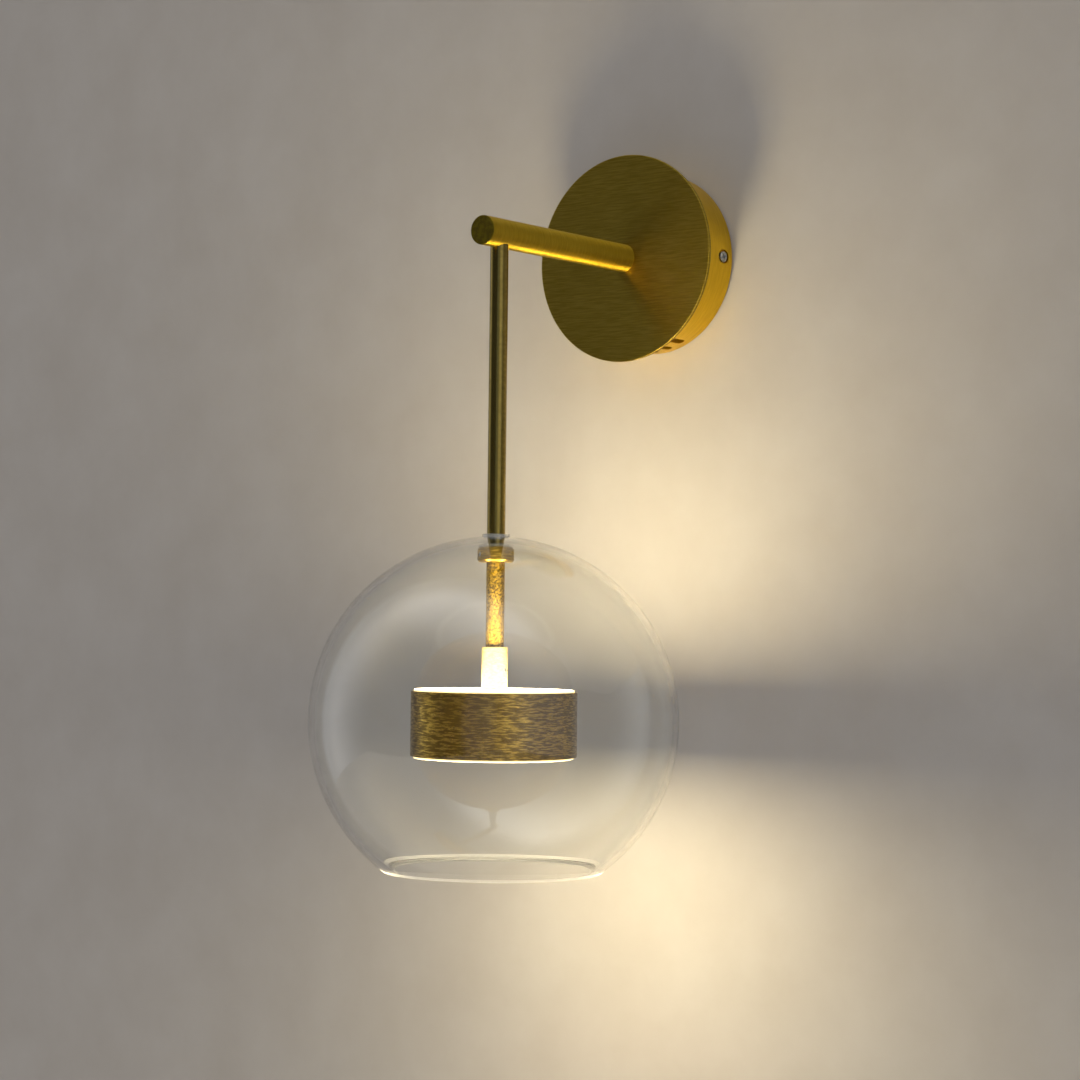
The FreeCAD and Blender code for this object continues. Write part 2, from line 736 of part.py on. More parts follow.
def leds(low):
    """Two rings of light-emitting diodes that stand on a board."""
    chip = Part.makeBox(led_length, led_width, led_height, FreeCAD.Vector(-led_length / 2, -led_width / 2, low))
    chips = ring_of(chip, inner_led_ring, inner_led_count, 180.0 / inner_led_count)
    chips += ring_of(chip, outer_led_ring, outer_led_count, 180.0 / outer_led_count)
    return moved(Part.makeCompound(chips), depth=arm_reach)


def board_screws():
    """Screws that hold both boards to the web."""
    screw = cross_screw(board_screw_radius - thread_clearance, board_screw_length, board_screw_head,
                        board_screw_head_height)
    flipped = screw.copy()
    flipped.rotate(ORIGIN, X_AXIS, 180)
    angles = board_screw_places()
    top = ring_of(moved(screw, z=web_top + board_thickness), board_screw_ring, board_screw_count, angles["top"])
    bottom = ring_of(moved(flipped, z=web_bottom - board_thickness), board_screw_ring, board_screw_count,
                     angles["bottom"])
    return moved(Part.makeCompound(top + bottom), depth=arm_reach)


def link_wires():
    """Two wires through the web, with a solder head on each board."""
    high = web_top + board_thickness
    low = web_bottom - board_thickness
    wire = turned([(0, low - solder_height), (solder_radius / 2, low - solder_height), (solder_radius, low),
                   (link_wire_radius, low), (link_wire_radius, high), (solder_radius, high),
                   (solder_radius / 2, high + solder_height), (0, high + solder_height)])
    wires = []
    for angle in link_wire_angles():
        wires += ring_of(wire, link_ring, 1, angle)
    return moved(Part.makeCompound(wires), depth=arm_reach)


def top_diffuser():
    """Opal disc on top, with a hole for the sleeve."""
    outer = drum_inner - slip_clearance
    high = drum_top + diffuser_stand
    low = high - diffuser_thickness
    disc = turned([(sleeve_radius + slip_clearance, low), (outer, low), (outer, high - edge),
                   (outer - edge, high), (sleeve_radius + slip_clearance, high)])
    return moved(disc, depth=arm_reach)


def bottom_diffuser():
    """Opal disc below."""
    outer = drum_inner - slip_clearance
    low = drum_bottom - diffuser_stand
    high = low + diffuser_thickness
    disc = turned([(0, low), (outer - edge, low), (outer, low + edge), (outer, high), (0, high)])
    return moved(disc, depth=arm_reach)


def dc_lead():
    """Two-core lead from the driver through the nipple, the arm and the rod to the bottom board."""
    slant = dc_lead_bend * (1 - math.sqrt(0.5))
    exit_point = FreeCAD.Vector(0, -dc_lead_level, driver_top)
    first = FreeCAD.Vector(0, -dc_lead_level, -dc_lead_bend)
    first_middle = FreeCAD.Vector(0, -dc_lead_level - slant, -slant)
    second = FreeCAD.Vector(0, -dc_lead_level - dc_lead_bend, 0)
    third = FreeCAD.Vector(0, -arm_reach + dc_lead_bend, 0)
    third_middle = FreeCAD.Vector(0, -arm_reach + slant, -slant)
    fourth = FreeCAD.Vector(0, -arm_reach, -dc_lead_bend)
    end = FreeCAD.Vector(0, -arm_reach, web_bottom)
    path = [Part.makeLine(exit_point, first), Part.Arc(first, first_middle, second).toShape(),
            Part.makeLine(second, third), Part.Arc(third, third_middle, fourth).toShape(),
            Part.makeLine(fourth, end)]
    length = sum(piece.Length for piece in path)
    lead = swept(path, dc_lead_radius, exit_point, Z_AXIS)
    share = lead.Volume / (math.pi * dc_lead_radius ** 2 * length)
    print("inner lead: length %.0f mm, bend radius %.0f mm, volume share %.3f" % (length, dc_lead_bend, share))
    return lead


sub_parts = {
    "canopy_disc": canopy_disc(),
    "canopy_cup": canopy_cup(),
    "canopy_side_screws": canopy_side_screws(),
    "wall_plate": wall_plate(),
    "cable_grommet": cable_grommet(),
    "terminal_block": terminal_block(),
    "terminal_clamp_screws": terminal_clamp_screws(),
    "terminal_fixing_screws": terminal_fixing_screws(),
    "earth_stud": earth_stud(),
    "earth_nuts": earth_nuts(),
    "earth_lead": earth_lead(),
    "led_driver": led_driver(),
    "driver_screws": driver_screws(),
    "mains_leads": mains_leads(),
    "arm_nipple": arm_nipple(),
    "arm_washer": arm_washer(),
    "arm_nut": arm_nut(),
    "arm_tube": arm_tube(),
    "arm_end_block": arm_end_block(),
    "drop_rod": drop_rod(),
    "globe_collar": globe_collar(),
    "collar_set_screw": collar_set_screw(),
    "lamp_sleeve": lamp_sleeve(),
    "sleeve_set_screw": sleeve_set_screw(),
    "glass_globe": glass_globe(),
    "globe_bush": globe_bush(),
    "drum_ring": drum_ring(),
    "drum_core": drum_core(),
    "top_led_board": top_led_board(),
    "bottom_led_board": bottom_led_board(),
    "top_leds": leds(web_top + board_thickness),
    "bottom_leds": leds(web_bottom - board_thickness - led_height),
    "board_screws": board_screws(),
    "link_wires": link_wires(),
    "top_diffuser": top_diffuser(),
    "bottom_diffuser": bottom_diffuser(),
    "dc_lead": dc_lead(),
}

for name, shape in sub_parts.items():
    shape.exportStep("parts/%s.step" % name)
    box = shape.BoundBox
    print("%-24s solids %2d  valid %s  volume %10.1f mm3  x %7.1f %7.1f  y %7.1f %7.1f  z %7.1f %7.1f"
          % (name, len(shape.Solids), shape.isValid(), shape.Volume,
             box.XMin, box.XMax, box.YMin, box.YMax, box.ZMin, box.ZMax))
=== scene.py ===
import math

import bmesh
import bpy
from mathutils import Matrix, Vector


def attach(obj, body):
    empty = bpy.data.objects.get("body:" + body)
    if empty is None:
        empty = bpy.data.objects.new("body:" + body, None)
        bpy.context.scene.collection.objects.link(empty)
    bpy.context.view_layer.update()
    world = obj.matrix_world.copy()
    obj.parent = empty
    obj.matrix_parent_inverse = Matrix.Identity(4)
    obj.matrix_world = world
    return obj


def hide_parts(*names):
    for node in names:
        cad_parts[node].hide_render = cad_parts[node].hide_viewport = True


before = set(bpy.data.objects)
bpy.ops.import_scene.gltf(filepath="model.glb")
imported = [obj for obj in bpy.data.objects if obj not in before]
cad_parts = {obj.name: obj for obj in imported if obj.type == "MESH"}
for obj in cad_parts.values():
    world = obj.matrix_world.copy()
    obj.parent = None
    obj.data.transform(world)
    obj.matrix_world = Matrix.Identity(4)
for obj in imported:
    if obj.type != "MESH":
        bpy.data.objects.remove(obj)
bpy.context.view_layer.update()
mm = 0.001
mergeDistance = 0.001 * mm                  # points closer than this are one
fineEdge, softEdge, easedEdge = 0.1, 0.15, 0.3        # how far edges without a size of their own are rounded
rodPlace = Vector((0, -150, 0)) * mm        # the drop rod's axis, which the globe and the lamp share
# turns a piece built about Z so that its height is its distance from the wall
outFromWall = Matrix.Rotation(math.pi / 2, 4, "X")
print("frame loaded:", len(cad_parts), "nodes")


# camera: it stands where the photograph was taken from, as the outlines in it tell

cameraView = {
    "place": (868.0206, -1229.9783, -211.2611),
    "yaw": 0.65983946,        # radians to the left of straight at the wall
    "pitch": 0.03234024,
    "roll": 0.01115375,
    "lens": 85.418,
    "sensor": 36,
}


def placeCamera(view):
    yaw, pitch, roll = view["yaw"], view["pitch"], view["roll"]
    forward = Vector((-math.sin(yaw) * math.cos(pitch), math.cos(yaw) * math.cos(pitch), math.sin(pitch)))
    level = Vector((math.cos(yaw), math.sin(yaw), 0))
    upright = level.cross(forward)
    right = level * math.cos(roll) + upright * math.sin(roll)
    up = upright * math.cos(roll) - level * math.sin(roll)
    camera = bpy.data.objects.new("camera", bpy.data.cameras.new("camera"))
    camera.data.sensor_width = view["sensor"]
    camera.data.lens = view["lens"]
    camera.data.clip_start = 0.01
    turn = Matrix((right, up, -forward)).transposed().to_4x4()
    camera.matrix_world = Matrix.Translation(Vector(view["place"]) * mm) @ turn
    bpy.context.scene.collection.objects.link(camera)
    bpy.context.scene.camera = camera


placeCamera(cameraView)
print("camera placed")


# finishes

def linearColor(hexColor):
    channels = [int(hexColor[i:i + 2], 16) / 255 for i in (1, 3, 5)]
    return [c / 12.92 if c <= 0.04045 else ((c + 0.055) / 1.055) ** 2.4 for c in channels] + [1.0]


# one node: settings go to the node's own fields or, failing that, to its inputs
def addNode(tree, kind, settings=None, links=None):
    node = tree.nodes.new(kind)
    for key, value in (settings or {}).items():
        if isinstance(key, str) and hasattr(node, key):
            setattr(node, key, value)
        else:
            node.inputs[key].default_value = value
    for key, socket in (links or {}).items():
        tree.links.new(socket, node.inputs[key])
    return node


def newFinish(name):
    finish = bpy.data.materials.new(name)
    finish.use_nodes = True
    finish.node_tree.nodes.clear()
    return finish, finish.node_tree


# a noise pattern on the piece's own coordinates; grain is its size along each axis
def grainPattern(tree, grain, detail, rough):
    place = addNode(tree, "ShaderNodeTexCoord")
    mapping = addNode(tree, "ShaderNodeMapping", {"Scale": [1 / (size * mm) for size in grain]},
                      {"Vector": place.outputs["Object"]})
    return addNode(tree, "ShaderNodeTexNoise", {"Scale": 1.0, "Detail": detail, "Roughness": rough},
                   {"Vector": mapping.outputs["Vector"]}).outputs["Fac"]


noiseLow, noiseHigh = 0.3, 0.7        # nearly all of a noise pattern lies between these


def stretched(tree, value, low, high, newLow=0.0, newHigh=1.0):
    return addNode(tree, "ShaderNodeMapRange", {"From Min": low, "From Max": high, "To Min": newLow,
                                                "To Max": newHigh}, {"Value": value}).outputs["Result"]


# a colour between two, each a hex colour or a socket
def blended(tree, share, first, second):
    settings, links = {"data_type": "RGBA"}, {0: share}
    for key, color in ((6, first), (7, second)):
        if isinstance(color, str):
            settings[key] = linearColor(color)
        else:
            links[key] = color
    return addNode(tree, "ShaderNodeMix", settings, links).outputs[2]


# Brass with a satin, brushed surface: the brush leaves short lines that differ in tone and gloss, and
# spreads every reflection across them. Real lines are about 0.1 mm wide, too fine to show at this
# distance, so they are drawn about 1 mm apart. The grain is the size of these lines along X, Y and Z,
# and the spread is the way in which reflections stretch.
brassLooks = {
    # brushed from side to side
    "brushedBrassDisc": {"grain": (13, 4, 0.9), "spread": (0, 0, 1), "light": "#AC943C", "dark": "#8A7524",
                         "rough": (0.34, 0.42), "stretch": 0.95, "bump": 0.20, "contrast": 0.13},
    # turned, with fine rings round its axis
    "turnedBrassCup": {"grain": (12, 1.2, 12), "spread": (0, 1, 0), "light": "#E8C42E", "dark": "#D4AC1E",
                       "rough": (0.30, 0.38), "stretch": 0.55, "bump": 0.05, "contrast": 0.20},
    # sanded round to a satin, with a darker, speckled face at its end
    "satinBrassArm": {"grain": (9, 1.1, 9), "spread": (0, 1, 0), "light": "#BE9E2E", "dark": "#A88A20",
                      "rough": (0.40, 0.48), "stretch": 0.95, "bump": 0.05, "contrast": 0.20,
                      "end": {"axis": "Y", "from": -164.5, "light": "#80701E", "dark": "#6A5C1C",
                              "rough": 0.42, "grain": 3.0}},
    # drawn and nearly polished, rougher inside the globe, where its lighter, speckled tone is painted lamp
    # light
    "drawnBrassRod": {"grain": (3.0, 3.0, 1.6), "spread": (0, 0, 1), "light": "#968446", "dark": "#7E6E38",
                      "rough": (0.15, 0.24), "stretch": 0.75, "bump": 0.10, "contrast": 0.15,
                      "end": {"axis": "Z", "from": -177, "light": "#AC8E32", "dark": "#544212",
                              "rough": 0.50, "grain": 1.2}},
    # brushed round, with deeper lines
    "brushedBrassLamp": {"grain": (6, 6, 0.8), "spread": (0, 0, 1), "light": "#DAB650", "dark": "#705818",
                         "rough": (0.26, 0.40), "stretch": 0.86, "bump": 0.40, "contrast": 0.10,
                         "middle": 0.56},        # above 0.5 there is more dark than light
    # turned satin brass, its pale tone a painted glow of the lamp's light below it
    "lampLitBrassSleeve": {"grain": (2.4, 2.4, 0.8), "spread": (0, 0, 1), "light": "#DCC992", "dark": "#C2AC6A",
                         "rough": (0.50, 0.60), "stretch": 0.90, "bump": 0.12, "contrast": 0.18},
}
brassTarnish = {"grain": (38, 38, 38), "share": 0.35}        # slow drift in tone, as lacquered brass has
brushDepth = 0.04 * mm
endFade = 0.5        # millimetres to each side of the place where an end's own face starts
endContrast = 0.10        # the smaller, the sharper the specks of that face


def brassFinish(name, look):
    finish, tree = newFinish(name)
    lines = grainPattern(tree, look["grain"], detail=3.5, rough=0.6)
    cloud = grainPattern(tree, brassTarnish["grain"], detail=2.0, rough=0.5)
    middle, contrast = look.get("middle", 0.5), look["contrast"]
    streak = stretched(tree, lines, middle - contrast, middle + contrast)
    drift = stretched(tree, cloud, noiseLow, noiseHigh, 0.0, brassTarnish["share"])
    tone = blended(tree, streak, look["dark"], look["light"])
    tone = blended(tree, drift, tone, look["dark"])
    gloss = stretched(tree, streak, 0.0, 1.0, look["rough"][1], look["rough"][0])
    # this end tone is a darker face at the arm's tip, and on the rod inside the globe it is painted lamp
    # light: a lighter, speckled tone
    if "end" in look:        # one end of the piece, from a place on an axis on, has a face of its own
        end = look["end"]
        place = addNode(tree, "ShaderNodeTexCoord")
        part = addNode(tree, "ShaderNodeSeparateXYZ", None, {"Vector": place.outputs["Object"]})
        share = stretched(tree, part.outputs[end["axis"]], (end["from"] + endFade) * mm,
                          (end["from"] - endFade) * mm)
        grain = grainPattern(tree, [end["grain"]] * 3, detail=2.0, rough=0.6)
        specks = stretched(tree, grain, 0.5 - endContrast, 0.5 + endContrast)
        tone = blended(tree, share, tone, blended(tree, specks, end["dark"], end["light"]))
        streak = addNode(tree, "ShaderNodeMix", None, {0: share, 2: streak, 3: specks}).outputs[0]
        gloss = addNode(tree, "ShaderNodeMix", {3: end["rough"]}, {0: share, 2: gloss}).outputs[0]
    relief = addNode(tree, "ShaderNodeBump", {"Strength": look["bump"], "Distance": brushDepth},
                     {"Height": streak})
    spread = addNode(tree, "ShaderNodeCombineXYZ", dict(zip(("X", "Y", "Z"), look["spread"])))
    metal = addNode(tree, "ShaderNodeBsdfPrincipled", {"Metallic": 1.0, "Anisotropic": look["stretch"]},
                    {"Base Color": tone, "Roughness": gloss, "Normal": relief.outputs["Normal"],
                     "Tangent": spread.outputs["Vector"]})
    addNode(tree, "ShaderNodeOutputMaterial", None, {"Surface": metal.outputs["BSDF"]})
    return finish


# Metals, plastics and rubbers of the pieces inside: two tones, a grain, and a small relief
plainLooks = {
    "zincPlatedSteel": {"light": "#B9BEC4", "dark": "#8F959B", "grain": (1.2, 1.2, 1.2), "metal": 1.0,
                        "rough": (0.24, 0.40), "bump": 0.10},        # bright plating, faintly mottled
    "powderCoatedSteel": {"light": "#DEDEDB", "dark": "#D0D0CC", "grain": (1.0, 1.0, 1.0), "metal": 0.0,
                          "rough": (0.45, 0.58), "bump": 0.22},      # white powder coat with its orange peel
    "turnedAluminium": {"light": "#C9CBCD", "dark": "#A5A8AB", "grain": (6, 6, 0.5), "metal": 1.0,
                        "rough": (0.28, 0.42), "bump": 0.15},        # lathe lines round the axis
    "whiteBoard": {"light": "#EDEDE6", "dark": "#D9D9CF", "grain": (9, 9, 9), "metal": 0.0,
                   "rough": (0.40, 0.55), "bump": 0.04},             # solder mask over faint copper fields
    "ledPhosphor": {"light": "#F2D24A", "dark": "#DDB52E", "grain": (0.8, 0.8, 0.8), "metal": 0.0,
                    "rough": (0.35, 0.50), "bump": 0.10},            # silicone with yellow phosphor
    "mouldedCase": {"light": "#E9E9E6", "dark": "#DCDCD8", "grain": (0.7, 0.7, 0.7), "metal": 0.0,
                    "rough": (0.45, 0.58), "bump": 0.25},            # polycarbonate with a spark-eroded grain
    "mouldedPolyamide": {"light": "#EFEDE4", "dark": "#E0DDD1", "grain": (1.5, 1.5, 1.5), "metal": 0.0,
                         "rough": (0.38, 0.50), "bump": 0.10},       # smooth, slightly waxy
    "greenYellowCover": {"light": "#E3C92B", "dark": "#2E8B3D", "grain": (2.2, 2.2, 2.2), "metal": 0.0,
                         "rough": (0.40, 0.50), "bump": 0.05},       # earth lead's two-colour cover
    "greyCover": {"light": "#9B9DA0", "dark": "#86888B", "grain": (2, 2, 2), "metal": 0.0,
                  "rough": (0.42, 0.55), "bump": 0.08},              # extruded vinyl
    "blackRubber": {"light": "#2B2B2C", "dark": "#1B1B1C", "grain": (0.9, 0.9, 0.9), "metal": 0.0,
                    "rough": (0.55, 0.72), "bump": 0.30},            # matt moulded rubber
}
plainDepth = 0.05 * mm
plainContrast = 0.14        # the smaller, the sharper the two tones part


def plainFinish(name, look):
    finish, tree = newFinish(name)
    grain = grainPattern(tree, look["grain"], detail=4.0, rough=0.6)
    patch = stretched(tree, grain, 0.5 - plainContrast, 0.5 + plainContrast)
    tone = blended(tree, patch, look["dark"], look["light"])
    gloss = stretched(tree, patch, 0.0, 1.0, look["rough"][1], look["rough"][0])
    relief = addNode(tree, "ShaderNodeBump", {"Strength": look["bump"], "Distance": plainDepth},
                     {"Height": grain})
    body = addNode(tree, "ShaderNodeBsdfPrincipled", {"Metallic": look["metal"]},
                   {"Base Color": tone, "Roughness": gloss, "Normal": relief.outputs["Normal"]})
    addNode(tree, "ShaderNodeOutputMaterial", None, {"Surface": body.outputs["BSDF"]})
    return finish


clearLooks = {
    # borosilicate, barely wavy from blowing, with its mouth cut and ground below the height of the lip
    "clearBlownGlass": {"tint": "#FDFEFD", "ior": 1.47, "rough": 0.0, "grain": (34, 34, 52), "wave": 0.05,
                        "shade": "#F4F6F5", "clear": 1.0, "lip": -343.6, "lipRough": 0.30},
    # soft, slightly milky
    "clearSilicone": {"tint": "#F7F6F2", "ior": 1.41, "rough": 0.10, "grain": (1.5, 1.5, 1.5), "wave": 0.10,
                      "shade": "#D8D8D4", "clear": 0.75},
    # the lamp lead's clear cover
    "clearVinyl": {"tint": "#F1EDE2", "ior": 1.52, "rough": 0.15, "grain": (2, 2, 2), "wave": 0.10,
                   "shade": "#D0CCC2", "clear": 1.0},
}
blownDepth = 0.4 * mm
lipFade = 0.4        # millimetres to each side of the height where the ground lip starts


# clear stuff lets the lamps' light through to what is inside it
def clearFinish(name, look):
    finish, tree = newFinish(name)
    wave = grainPattern(tree, look["grain"], detail=1.0, rough=0.4)
    relief = addNode(tree, "ShaderNodeBump", {"Strength": look["wave"], "Distance": blownDepth},
                     {"Height": wave})
    clear = addNode(tree, "ShaderNodeBsdfPrincipled",
                    {"Base Color": linearColor(look["tint"]), "Roughness": look["rough"], "IOR": look["ior"],
                     "Transmission Weight": look["clear"]}, {"Normal": relief.outputs["Normal"]})
    if "lip" in look:
        place = addNode(tree, "ShaderNodeTexCoord")
        part = addNode(tree, "ShaderNodeSeparateXYZ", None, {"Vector": place.outputs["Object"]})
        ground = stretched(tree, part.outputs["Z"], (look["lip"] - lipFade) * mm,
                           (look["lip"] + lipFade) * mm, look["lipRough"], look["rough"])
        tree.links.new(ground, clear.inputs["Roughness"])
    through = addNode(tree, "ShaderNodeBsdfTransparent", {"Color": linearColor(look["shade"])})
    rays = addNode(tree, "ShaderNodeLightPath")
    either = addNode(tree, "ShaderNodeMath", {"operation": "MAXIMUM"},
                     {0: rays.outputs["Is Shadow Ray"], 1: rays.outputs["Is Diffuse Ray"]})
    mixed = addNode(tree, "ShaderNodeMixShader", None,
                    {0: either.outputs[0], 1: clear.outputs["BSDF"], 2: through.outputs["BSDF"]})
    addNode(tree, "ShaderNodeOutputMaterial", None, {"Surface": mixed.outputs["Shader"]})
    return finish


opalLook = {
    "body": "#FFF6E6", "ior": 1.49, "glow": "#FFEFCC", "dimGlow": "#FFE2AC", "strength": 66.0,
    "ring": 29.0,        # the diodes' outer ring, which glows through a little brighter
    "ringWidth": 22.0,
    "edge": 43.1, "edgeGlow": "#2E2818",        # the side edge gets little of the light
    "edgeFade": 0.3,
    "grain": (1.2, 1.2, 1.2), "rough": (0.38, 0.50),
}


# Opal acrylic lit from behind: an even warm glow, a shade dimmer at the rim and at the middle
def opalFinish(look):
    finish, tree = newFinish("litOpalAcrylic")
    place = addNode(tree, "ShaderNodeTexCoord")
    fromAxis = addNode(tree, "ShaderNodeVectorMath", {"operation": "SUBTRACT", 1: rodPlace},
                       {0: place.outputs["Object"]})
    flat = addNode(tree, "ShaderNodeVectorMath", {"operation": "MULTIPLY", 1: (1, 1, 0)},
                   {0: fromAxis.outputs["Vector"]})
    distance = addNode(tree, "ShaderNodeVectorMath", {"operation": "LENGTH"}, {0: flat.outputs["Vector"]})
    offRing = addNode(tree, "ShaderNodeMath", {"operation": "SUBTRACT", 1: look["ring"] * mm},
                      {0: distance.outputs["Value"]})
    offRing = addNode(tree, "ShaderNodeMath", {"operation": "ABSOLUTE"}, {0: offRing.outputs[0]})
    share = stretched(tree, offRing.outputs[0], 0.0, look["ringWidth"] * mm)
    glow = blended(tree, share, look["glow"], look["dimGlow"])
    edge = stretched(tree, distance.outputs["Value"], (look["edge"] - look["edgeFade"]) * mm,
                     look["edge"] * mm)
    glow = blended(tree, edge, glow, look["edgeGlow"])
    speck = grainPattern(tree, look["grain"], detail=3.0, rough=0.5)
    gloss = stretched(tree, speck, noiseLow, noiseHigh, *look["rough"])
    opal = addNode(tree, "ShaderNodeBsdfPrincipled",
                   {"Base Color": linearColor(look["body"]), "IOR": look["ior"],
                    "Emission Strength": look["strength"]},
                   {"Emission Color": glow, "Roughness": gloss})
    addNode(tree, "ShaderNodeOutputMaterial", None, {"Surface": opal.outputs["BSDF"]})
    return finish


finishes = {name: brassFinish(name, look) for name, look in brassLooks.items()}
finishes.update({name: plainFinish(name, look) for name, look in plainLooks.items()})
finishes.update({name: clearFinish(name, look) for name, look in clearLooks.items()})
finishes["litOpalAcrylic"] = opalFinish(opalLook)
print("finishes made:", len(finishes))


# Geometry Nodes

def newTree(name, inputs):
    tree = bpy.data.node_groups.new(name, "GeometryNodeTree")
    tree.interface.new_socket(name="Geometry", in_out="OUTPUT", socket_type="NodeSocketGeometry")
    tree.interface.new_socket(name="Geometry", in_out="INPUT", socket_type="NodeSocketGeometry")
    for title, kind in inputs.items():
        tree.interface.new_socket(name=title, in_out="INPUT", socket_type="NodeSocket" + kind)
    return tree, tree.nodes.new("NodeGroupInput")


def endTree(tree, given, geometry):
    real = addNode(tree, "GeometryNodeRealizeInstances", None, {"Geometry": geometry})
    coated = addNode(tree, "GeometryNodeSetMaterial", None,
                     {"Geometry": real.outputs["Geometry"], "Material": given.outputs["Finish"]})
    addNode(tree, "NodeGroupOutput", None, {0: coated.outputs["Geometry"]})
    return tree


# turns an outline about Z; its X is the distance from a thin spindle round the axis, its Y the depth below
def makeTurningTree():
    tree, given = newTree("turnOutline", {"Steps": "Int", "Spindle radius": "Float",
                                          "Merge distance": "Float", "Finish": "Material"})
    spindle = addNode(tree, "GeometryNodeCurvePrimitiveCircle", None,
                      {"Resolution": given.outputs["Steps"], "Radius": given.outputs["Spindle radius"]})
    outline = addNode(tree, "GeometryNodeMeshToCurve", None, {"Mesh": given.outputs["Geometry"]})
    skin = addNode(tree, "GeometryNodeCurveToMesh", None,
                   {"Curve": spindle.outputs["Curve"], "Profile Curve": outline.outputs["Curve"]})
    closed = addNode(tree, "GeometryNodeMergeByDistance", None,
                     {"Geometry": skin.outputs["Mesh"], "Distance": given.outputs["Merge distance"]})
    return endTree(tree, given, closed.outputs["Geometry"])


# copies a piece about Z, one every so many radians
def makeRingTree():
    tree, given = newTree("ringOfCopies", {"Count": "Int", "First angle": "Float", "Angle between": "Float",
                                           "Finish": "Material"})
    points = addNode(tree, "GeometryNodeMeshLine", {"Offset": (0, 0, 0)}, {"Count": given.outputs["Count"]})
    number = addNode(tree, "GeometryNodeInputIndex")
    angle = addNode(tree, "ShaderNodeMath", {"operation": "MULTIPLY_ADD"},
                    {0: number.outputs["Index"], 1: given.outputs["Angle between"],
                     2: given.outputs["First angle"]})
    turn = addNode(tree, "ShaderNodeCombineXYZ", None, {"Z": angle.outputs[0]})
    copies = addNode(tree, "GeometryNodeInstanceOnPoints", None,
                     {"Points": points.outputs["Mesh"], "Instance": given.outputs["Geometry"],
                      "Rotation": turn.outputs["Vector"]})
    return endTree(tree, given, copies.outputs["Instances"])


turningTree = makeTurningTree()
ringTree = makeRingTree()


def newPiece(name, mesh):
    piece = bpy.data.objects.new(name, mesh)
    bpy.context.scene.collection.objects.link(piece)
    return piece


# the piece's mesh as its modifiers leave it, with the modifiers gone
def settled(piece):
    shown = piece.evaluated_get(bpy.context.evaluated_depsgraph_get())
    mesh = bpy.data.meshes.new_from_object(shown)
    piece.modifiers.clear()
    piece.data = mesh
    mesh.name = piece.name
    return piece


def runTree(piece, tree, values):
    modifier = piece.modifiers.new(tree.name, "NODES")
    modifier.node_group = tree
    for socket in tree.interface.items_tree:
        if socket.in_out == "INPUT" and socket.name in values:
            modifier[socket.identifier] = values[socket.name]
    return settled(piece)


def cleaned(piece, sharpAngle=32):
    work = bmesh.new()
    work.from_mesh(piece.data)
    bmesh.ops.remove_doubles(work, verts=work.verts, dist=mergeDistance)
    bmesh.ops.recalc_face_normals(work, faces=work.faces)
    work.to_mesh(piece.data)
    work.free()
    piece.data.shade_smooth()
    piece.data.set_sharp_from_angle(angle=math.radians(sharpAngle))
    return piece


mostOfSide = 0.48        # how much of a side one rounding may take
flatFrom = 5             # a side longer than this many roundings gets a point beside each


# Corners are (radius, height, rounding). Rounded corners become short arcs, and a point beside each
# keeps the flat faces next to them flat in the light.
def roundedOutline(corners, closed, arcSteps):
    points = []
    for i, corner in enumerate(corners):
        here = Vector(corner[:2])
        rounding = corner[2] if len(corner) > 2 else 0
        if not rounding or (not closed and i in (0, len(corners) - 1)):
            points.append(here)
            continue
        before = Vector(corners[i - 1][:2]) - here
        after = Vector(corners[(i + 1) % len(corners)][:2]) - here
        half = before.angle(after) / 2
        reach = min(rounding / math.tan(half), mostOfSide * before.length, mostOfSide * after.length)
        radius = reach * math.tan(half)
        toCentre = (before.normalized() + after.normalized()).normalized()
        centre = here + toCentre * (radius / math.sin(half))
        start, end = here + before.normalized() * reach, here + after.normalized() * reach
        if before.length > flatFrom * reach:
            points.append(start + before.normalized() * reach)
        first, last = start - centre, end - centre
        sweep = first.angle_signed(last)
        for step in range(arcSteps + 1):
            turn = Matrix.Rotation(-sweep * step / arcSteps, 2)
            points.append(centre + turn @ first)
        if after.length > flatFrom * reach:
            points.append(end + after.normalized() * reach)
    return points


def turnedPiece(name, corners, finish, place=(0, 0, 0), turn=None, steps=96, closed=True, arcSteps=4,
                sharpAngle=32):
    spindle = 1.0
    points = roundedOutline(corners, closed, arcSteps)
    mesh = bpy.data.meshes.new(name)
    edges = [(i, i + 1) for i in range(len(points) - 1)] + ([(len(points) - 1, 0)] if closed else [])
    mesh.from_pydata([((p[0] - spindle) * mm, -p[1] * mm, 0) for p in points], edges, [])
    piece = runTree(newPiece(name, mesh), turningTree,
                    {"Steps": steps, "Spindle radius": spindle * mm, "Merge distance": mergeDistance,
                     "Finish": finishes[finish]})
    piece.data.transform(Matrix.Translation(Vector(place)) @ (turn or Matrix()))
    return cleaned(piece, sharpAngle)


cutPast = 1.5        # how far a cutter stands out past what it cuts


def cutBy(piece, cutter):
    cut = piece.modifiers.new("cut", "BOOLEAN")
    cut.operation = "DIFFERENCE"
    cut.solver = "EXACT"
    cut.object = cutter
    settled(piece)
    bpy.data.objects.remove(cutter)
    return cleaned(piece)


# a bar with round ends, from one radius to another along X, its long side along Z
def slotBar(name, slot, low, high, depth):
    work = bmesh.new()
    half, run = slot["width"] / 2, (slot["length"] - slot["width"]) / 2
    archSteps = 24
    outline = []
    for step in range(archSteps + 1):
        angle = math.pi * step / archSteps
        outline.append((half * math.cos(angle), run + half * math.sin(angle)))
    outline += [(-y, -z) for y, z in outline]
    rings = [[work.verts.new((x * mm, y * mm, (z + depth) * mm)) for y, z in outline] for x in (low, high)]
    for i in range(len(outline)):
        j = (i + 1) % len(outline)
        work.faces.new((rings[0][i], rings[0][j], rings[1][j], rings[1][i]))
    work.faces.new(rings[0])
    work.faces.new(rings[1])
    bmesh.ops.recalc_face_normals(work, faces=work.faces)
    mesh = bpy.data.meshes.new(name)
    work.to_mesh(mesh)
    work.free()
    return newPiece(name, mesh)


